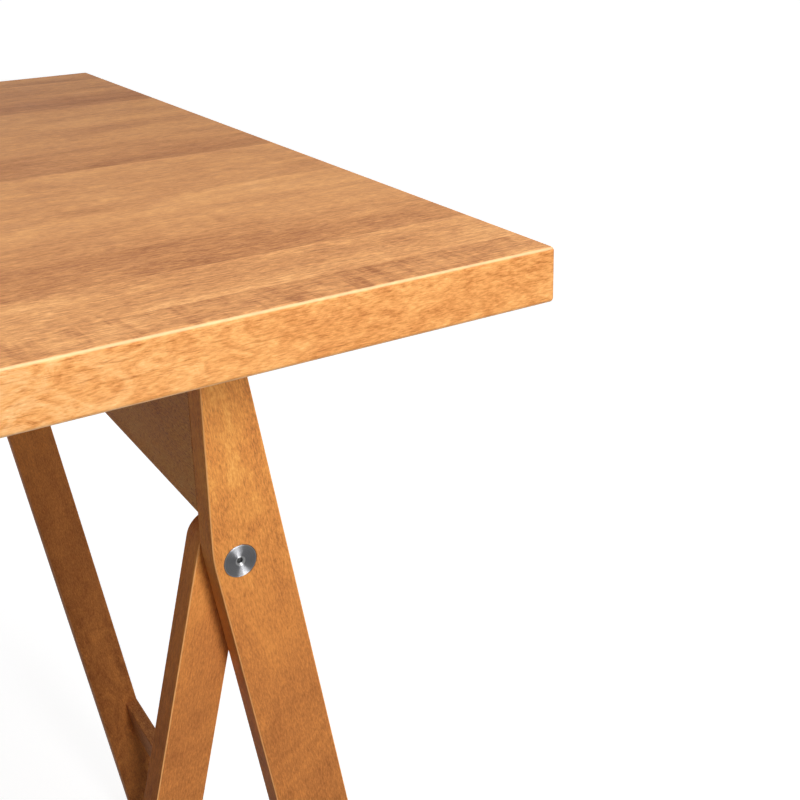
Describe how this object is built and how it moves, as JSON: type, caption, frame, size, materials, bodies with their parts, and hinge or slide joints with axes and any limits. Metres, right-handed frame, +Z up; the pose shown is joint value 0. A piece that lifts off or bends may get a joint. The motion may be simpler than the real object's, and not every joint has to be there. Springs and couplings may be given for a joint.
{
  "type": "trestle table",
  "caption": "Trestle table: a loose wooden top with eased edges lies on folding wooden trestles whose legs swing on flush steel pivot discs.",
  "frame": {"origin": "on the floor, under the middle of the tabletop", "axes": "+X along the tabletop towards the end that the picture shows, +Y across it away from the near side, +Z up"},
  "size_m": [1.5, 0.645, 0.75],
  "materials": {
    "top_wood": "honey-stained, clear satin lacquer",
    "leg_wood": "honey-stained, clear satin lacquer",
    "dowel_wood": "plain beech",
    "pivot_steel": "lathe-turned",
    "dark_plastic": "moulded"
  },
  "bodies": {
    "tabletop": {"top_stave_1": "top_wood", "top_stave_2": "top_wood", "top_stave_3": "top_wood", "top_stave_4": "top_wood", "top_stave_5": "top_wood", "top_stave_6": "top_wood", "top_stave_7": "top_wood", "top_stave_8": "top_wood", "top_stave_9": "top_wood", "top_stave_10": "top_wood", "top_stave_11": "top_wood", "top_stave_12": "top_wood", "top_stave_13": "top_wood", "top_stave_14": "top_wood", "top_stave_15": "top_wood", "top_stave_16": "top_wood"},
    "right_long_frame": {"right_long_leg_near": "leg_wood", "right_long_leg_far": "leg_wood", "right_top_rail": "leg_wood", "right_long_stretcher": "leg_wood", "right_rail_dowels": "dowel_wood", "right_long_stretcher_dowels": "dowel_wood", "right_locating_pegs": "dowel_wood", "right_pivot_sleeves": "pivot_steel", "right_pivot_screws": "pivot_steel", "right_pivot_washers": "dark_plastic", "right_long_glides": "dark_plastic"},
    "left_long_frame": {"left_long_leg_near": "leg_wood", "left_long_leg_far": "leg_wood", "left_top_rail": "leg_wood", "left_long_stretcher": "leg_wood", "left_rail_dowels": "dowel_wood", "left_long_stretcher_dowels": "dowel_wood", "left_locating_pegs": "dowel_wood", "left_pivot_sleeves": "pivot_steel", "left_pivot_screws": "pivot_steel", "left_pivot_washers": "dark_plastic", "left_long_glides": "dark_plastic"},
    "right_short_frame": {"right_short_leg_near": "leg_wood", "right_short_leg_far": "leg_wood", "right_stop_pins": "pivot_steel", "right_short_stretcher": "leg_wood", "right_short_stretcher_dowels": "dowel_wood", "right_short_glides": "dark_plastic"},
    "left_short_frame": {"left_short_leg_near": "leg_wood", "left_short_leg_far": "leg_wood", "left_stop_pins": "pivot_steel", "left_short_stretcher": "leg_wood", "left_short_stretcher_dowels": "dowel_wood", "left_short_glides": "dark_plastic"}
  },
  "joints": [
    {"name": "right_trestle_drop", "type": "slide", "parent": "tabletop", "child": "right_long_frame", "axis": [0, 0, -1], "range_m": [0, 0.05]},
    {"name": "right_trestle_fold", "type": "hinge", "parent": "right_long_frame", "child": "right_short_frame", "pos_m": [0.6165, 0, 0.6125], "axis": [0, -1, 0], "range_deg": [0, 23.2]},
    {"name": "left_trestle_drop", "type": "slide", "parent": "tabletop", "child": "left_long_frame", "axis": [0, 0, -1], "range_m": [0, 0.05]},
    {"name": "left_trestle_fold", "type": "hinge", "parent": "left_long_frame", "child": "left_short_frame", "pos_m": [-0.6165, 0, 0.6125], "axis": [0, 1, 0], "range_deg": [0, 23.2]}
  ]
}
